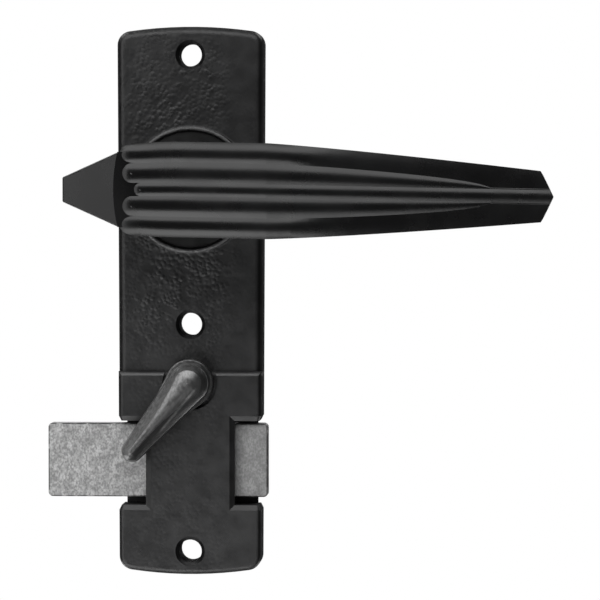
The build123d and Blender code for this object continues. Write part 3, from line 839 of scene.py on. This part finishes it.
@dataclass(frozen=True)
class ThumbSnib(SubAssembly):
    """Teardrop snib with painted light: lighter on its left side and crest, with a painted highlight along
    its rim and a painted reflection on its right flank.

    Attributes:
        metal: Its finish.
        joint: Joint that the snib turns on.
        lit_side: Where the painted light starts to fade and ends, across the snib, in metres.
        shaded_side_share: Share of the painted light on the far side.
        ridge: Middle of the narrow painted reflection on the far side, across the snib, in metres.
        ridge_half: Half the width of that reflection, in metres.
        ridge_run: Where that reflection starts and ends, along the snib, in metres.
        ridge_fade: Share of half that run over which the reflection fades out.
        foot: Stand-off of the grooves' foot, in metres.
        foot_share: Share of the painted light at the grooves' foot.
        crown: Stand-off from which the crest has the full painted light, in metres.
        rim: Stand-off of the highlight painted along the rim, in metres.
        rim_half: Half the height of that painted highlight, in metres.
    """

    title: str = "thumb snib"
    nodes: tuple[Node, ...] = (Node.SNIB,)
    metal: SatinNickel = SatinNickel()
    joint: str = "snib_turn"
    lit_side: Pair = (-2.0 * MM, 1.1 * MM)
    shaded_side_share: float = 0.12
    ridge: float = 2.2 * MM
    ridge_half: float = 0.5 * MM
    ridge_run: Pair = (-2.0 * MM, 15.0 * MM)
    ridge_fade: float = 0.3
    foot: float = 12.8 * MM
    foot_share: float = 0.6
    crown: float = 16.6 * MM
    rim: float = 12.5 * MM
    rim_half: float = 0.35 * MM

    def painted_reflection(self, graph: NodeGraph, across: Socket, along: Socket) -> Socket:
        """Return the narrow painted reflection on the far side.

        Args:
            graph: Node graph of the metal.
            across: Distance across the snib, in metres.
            along: Distance along the snib, in metres.

        Returns:
            The painted reflection, from 0 to 1.
        """
        start, end = self.ridge_run
        middle = (start + end) / 2
        run = graph.spread(graph.band(along, middle, end - middle), (0.0, self.ridge_fade))
        return graph.joined(Join.PRODUCT, graph.band(across, self.ridge, self.ridge_half), run)

    def graph(self) -> NodeGraph:
        """Return the node graph of the metal, with light and shade painted along and across the snib as it
        lies at rest.

        Returns:
            The node graph.
        """
        graph = NodeGraph("dark_satin_nickel")
        turn = next(joint for joint in frame["joints"] if joint["name"] == self.joint)
        lean = math.radians(turn["range_deg"][1] / 2)
        pivot = Vector(turn["pos_m"])
        across = graph.distance(Vector((math.cos(lean), 0.0, -math.sin(lean))), pivot)
        along = graph.distance(Vector((-math.sin(lean), 0.0, -math.cos(lean))), pivot)
        depth = graph.coordinate(Axis.Y)
        # Painted light: lighter on the left side and towards the crest.
        side = graph.spread(across, self.lit_side, (1.0, self.shaded_side_share))
        crest = graph.spread(depth, (-self.foot, -self.crown), (self.foot_share, 1.0))
        # Painted highlight along the rim.
        rim = graph.band(depth, -self.rim, self.rim_half)
        lit_side = graph.joined(Join.PRODUCT, side, crest)
        # Joins the painted light with the painted highlight on the rim and the painted reflection.
        painted_light = graph.joined(Join.LARGEST, lit_side, rim, self.painted_reflection(graph, across, along))
        self.metal.lay(graph, painted_light)
        return graph


@dataclass(frozen=True)
class NightBolt(SubAssembly):
    """Flat bolt bar, with painted shade along the edges of its two broad faces and towards its right end.

    Attributes:
        zinc: Its finish.
        edge_width: Width of the painted shade along the edges, in metres.
        shaded_end_share: Share of the plating's brightness left at the right end, under the painted shade of
            the housing.
        broad: How squarely a narrow face and a broad face look along the bolt's thickness.
    """

    title: str = "night bolt"
    nodes: tuple[Node, ...] = (Node.BOLT,)
    zinc: SpeckledZinc = SpeckledZinc()
    edge_width: float = 0.5 * MM
    shaded_end_share: float = 0.36
    broad: Pair = (0.25, 0.6)

    def inside(self, graph: NodeGraph, low: Vector, high: Vector) -> Socket:
        """Return how far inside the painted edge shade a place lies.

        Args:
            graph: Node graph of the plating.
            low: Lowest corner of the bolt, in metres.
            high: Highest corner of the bolt, in metres.

        Returns:
            0 on the edge of a broad face, and 1 away from it and on the narrow faces.
        """
        # Painted shade along the edges of the broad faces, none on the narrow faces.
        clear = []
        for axis, start, end in ((Axis.X, low.x, high.x), (Axis.Z, low.z, high.z)):
            place = graph.coordinate(axis)
            clear.append(graph.spread(place, (start, start + self.edge_width)))
            clear.append(graph.spread(place, (end, end - self.edge_width)))
        narrow = graph.spread(graph.facing(Axis.Y), self.broad, FALL)
        return graph.joined(Join.LARGEST, graph.joined(Join.PRODUCT, *clear), narrow)

    def graph(self) -> NodeGraph:
        """Return the node graph of the plating.

        Returns:
            The node graph.
        """
        graph = NodeGraph("dull_zinc_plate")
        low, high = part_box(Node.BOLT.value)
        # Painted shade of the housing towards the bolt's right end.
        lit_share = graph.spread(graph.coordinate(Axis.X), (low.x, high.x), (1.0, self.shaded_end_share))
        self.zinc.lay(graph, lit_share, self.inside(graph, low, high))
        return graph


@dataclass(frozen=True)
class InnerPieces(SubAssembly):
    """Pieces inside the latch that share a finish.

    Attributes:
        finish: Their finish.
    """

    finish: MetalFinish | Nylon

    def graph(self) -> NodeGraph:
        """Return the node graph of the finish."""
        return self.finish.graph()


def seen_directly(tree: bpy.types.NodeTree) -> Socket:
    """Return whether a ray shows the surroundings: from the camera, off a shiny face or through glass.

    Args:
        tree: Node tree of the surroundings.

    Returns:
        1 for such a ray, else 0.
    """
    path = tree.nodes.new("ShaderNodeLightPath")
    seen = path.outputs["Is Camera Ray"]
    for name in ("Is Glossy Ray", "Is Transmission Ray"):
        either = tree.nodes.new("ShaderNodeMath")
        either.operation = Join.LARGEST.value
        tree.links.new(seen, either.inputs[0])
        tree.links.new(path.outputs[name], either.inputs[1])
        seen = either.outputs["Value"]
    return seen


@dataclass(frozen=True)
class SoftBox:
    """Flat lamp of soft light that faces the latch.

    Attributes:
        name: Name of the lamp.
        place: Where it stands, in metres.
        size: Its width and height, in metres.
        power: Its power, in watts.
        mirrored: Whether shiny faces show it.
    """

    name: str
    place: Triple
    size: Pair
    power: float
    mirrored: bool = True

    def build(self, target: Vector) -> bpy.types.Object:
        """Make the lamp.

        Args:
            target: Point that it is turned to, in metres.

        Returns:
            The lamp.
        """
        lamp = bpy.data.lights.new(self.name, "AREA")
        lamp.shape = "RECTANGLE"
        lamp.size, lamp.size_y = self.size
        lamp.energy = self.power
        holder = bpy.data.objects.new(self.name, lamp)
        holder.location = self.place
        holder.rotation_euler = (target - Vector(self.place)).to_track_quat("-Z", "Y").to_euler()
        holder.visible_camera = False
        holder.visible_glossy = self.mirrored
        bpy.context.scene.collection.objects.link(holder)
        return holder


class Tone(Enum):
    """Plain colours of the studio's sheets."""

    WHITE = 0.9
    BLACK = 0.02


@dataclass(frozen=True)
class Sheet:
    """Flat sheet in the studio.

    The camera sees a white sheet. It doesn't see a black one, which darkens what the latch mirrors.

    Attributes:
        name: Name of the sheet.
        middle: Its middle, in metres.
        across: Half of its width, as a direction with a length.
        along: Half of its height, as a direction with a length.
        tone: Its colour.
    """

    name: str
    middle: Triple
    across: Triple
    along: Triple
    tone: Tone

    def build(self) -> bpy.types.Object:
        """Make the sheet, as part of the stage.

        Returns:
            The sheet.
        """
        middle, across, along = Vector(self.middle), Vector(self.across), Vector(self.along)
        corners = [middle + a * across + b * along for a, b in ((-1, -1), (1, -1), (1, 1), (-1, 1))]
        mesh = bpy.data.meshes.new(self.name)
        mesh.from_pydata(corners, [], [(0, 1, 2, 3)])
        sheet = bpy.data.objects.new(self.name, mesh)
        bpy.context.scene.collection.objects.link(sheet)
        self.graph().dress(sheet)
        sheet.visible_camera = self.tone is Tone.WHITE
        return sheet

    def graph(self) -> NodeGraph:
        """Return the node graph of the sheet.

        Returns:
            The node graph, which glows white to the camera on a white sheet.
        """
        graph = NodeGraph(self.name)
        shade = self.tone.value
        graph.shader.inputs["Base Color"].default_value = (shade, shade, shade, 1.0)
        graph.hold("Roughness", 1.0)
        if self.tone is Tone.WHITE:
            graph.shader.inputs["Emission Color"].default_value = WHITE_LIGHT
            graph.feed("Emission Strength", seen_directly(graph.tree))
        return graph


@dataclass(frozen=True)
class Studio:
    """White surroundings, soft boxes inside closed dark screens, a pale floor and the camera.

    Attributes:
        eye: Where the camera stands, in metres.
        aim: Point in the middle of the picture, in metres.
        picture_width: Width that the picture takes in at the aim, in metres.
        sensor: Width of the camera's sensor, in millimetres.
        fill: Strength of the surroundings as a light, which the screens keep off the latch.
        lamps: The soft boxes.
        sheets: The floor, and the screens that keep the black paint dark.
    """

    eye: Triple = (0.0763, -0.89, -0.0018)
    aim: Triple = (0.0262, -0.0038, -0.0266)
    picture_width: float = 0.1448
    sensor: float = 36.0
    fill: float = 0.35
    lamps: tuple[SoftBox, ...] = (
        SoftBox("upper_soft_box", (-0.05, -0.5, 0.5), (0.9, 0.5), 3.6),
        SoftBox("lower_soft_box", (-0.2, -0.5, -0.55), (0.7, 0.5), 3.4),
        SoftBox("left_soft_box", (-0.58, -0.55, 0.0), (0.4, 0.8), 1.45),
        SoftBox("back_soft_box", (0.2, 0.7, 0.3), (0.6, 0.6), 7.5, mirrored=False),
        SoftBox("upper_right_box", (0.5, 0.35, 0.6), (0.4, 0.4), 2.3),
        SoftBox("lower_right_box", (0.5, 0.25, -0.6), (0.4, 0.4), 1.8),
        SoftBox("upper_left_box", (-0.5, 0.25, 0.6), (0.4, 0.4), 2.3),
        SoftBox("lower_left_box", (-0.5, 0.25, -0.6), (0.4, 0.4), 2.3),
    )
    sheets: tuple[Sheet, ...] = (
        Sheet("pale_floor", (0.0, 0.0, -1.1), (2.5, 0.0, 0.0), (0.0, 2.5, 0.0), Tone.WHITE),
        Sheet("front_screen", (-0.15, -1.05, 0.0), (0.95, 0.0, 0.0), (0.0, 0.0, 1.0), Tone.BLACK),
        Sheet("back_screen", (-0.15, 0.95, 0.0), (0.95, 0.0, 0.0), (0.0, 0.0, 1.0), Tone.BLACK),
        Sheet("right_screen", (0.8, -0.05, 0.0), (0.0, 1.0, 0.0), (0.0, 0.0, 1.0), Tone.BLACK),
        Sheet("left_screen", (-1.1, -0.05, 0.0), (0.0, 1.0, 0.0), (0.0, 0.0, 1.0), Tone.BLACK),
        Sheet("upper_screen", (-0.15, -0.05, 1.0), (0.95, 0.0, 0.0), (0.0, 1.0, 0.0), Tone.BLACK),
        Sheet("lower_screen", (-0.15, -0.05, -1.0), (0.95, 0.0, 0.0), (0.0, 1.0, 0.0), Tone.BLACK),
    )

    def build(self) -> list[bpy.types.Object]:
        """Make the whole studio.

        Returns:
            The sheets, the lamps and the camera.
        """
        bpy.context.scene.view_settings.view_transform = "Standard"
        self.build_surroundings()
        sheets = [sheet.build() for sheet in self.sheets]
        lamps = [lamp.build(Vector(self.aim)) for lamp in self.lamps]
        return [*sheets, *lamps, self.build_camera()]

    def build_surroundings(self) -> None:
        """Make the white surroundings, dimmer as a light than as a sight."""
        world = bpy.data.worlds.new("white_surroundings")
        world.use_nodes = True
        bpy.context.scene.world = world
        tree = world.node_tree
        strength = tree.nodes.new("ShaderNodeMapRange")
        strength.inputs["To Min"].default_value = self.fill
        strength.inputs["To Max"].default_value = 1.0
        background = tree.nodes["Background"]
        background.inputs["Color"].default_value = WHITE_LIGHT
        tree.links.new(seen_directly(tree), strength.inputs["Value"])
        tree.links.new(strength.outputs["Result"], background.inputs["Strength"])

    def build_camera(self) -> bpy.types.Object:
        """Make the camera, a little to the right of the latch.

        Returns:
            The camera.
        """
        eye, aim = Vector(self.eye), Vector(self.aim)
        camera = bpy.data.cameras.new("camera")
        camera.sensor_width = self.sensor
        camera.lens = self.sensor * (aim - eye).length / self.picture_width
        holder = bpy.data.objects.new("camera", camera)
        holder.location = eye
        holder.rotation_euler = (aim - eye).to_track_quat("-Z", "Y").to_euler()
        bpy.context.scene.collection.objects.link(holder)
        bpy.context.scene.camera = holder
        return holder


def main() -> None:
    """Dress the latch piece by piece and set up the studio."""
    logging.basicConfig(level=logging.INFO, format="%(message)s")
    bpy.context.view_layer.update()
    for part in (
        EscutcheonPlate(),
        ReededLever(),
        ThumbSnib(),
        NightBolt(),
        InnerPieces("springs", (Node.RETURN_SPRING, Node.BOW_SPRING, Node.CONE_WASHER), SPRING_STEEL),
        InnerPieces("pressings", (Node.SPRING_CAM, Node.SNIB_CRANK), PASSIVATE),
        InnerPieces("fixings", (Node.SNAP_RING, Node.SNIB_CLIP, Node.GRUB_SCREW), BLACK_OXIDE),
        InnerPieces("thrust washer", (Node.THRUST_WASHER,), Nylon()),
    ):
        for piece in part.dress():
            log.info("%s: %s", part.title, piece.name)
    for piece in Studio().build():
        log.info("studio: %s", piece.name)


if __name__ == "__main__":
    main()
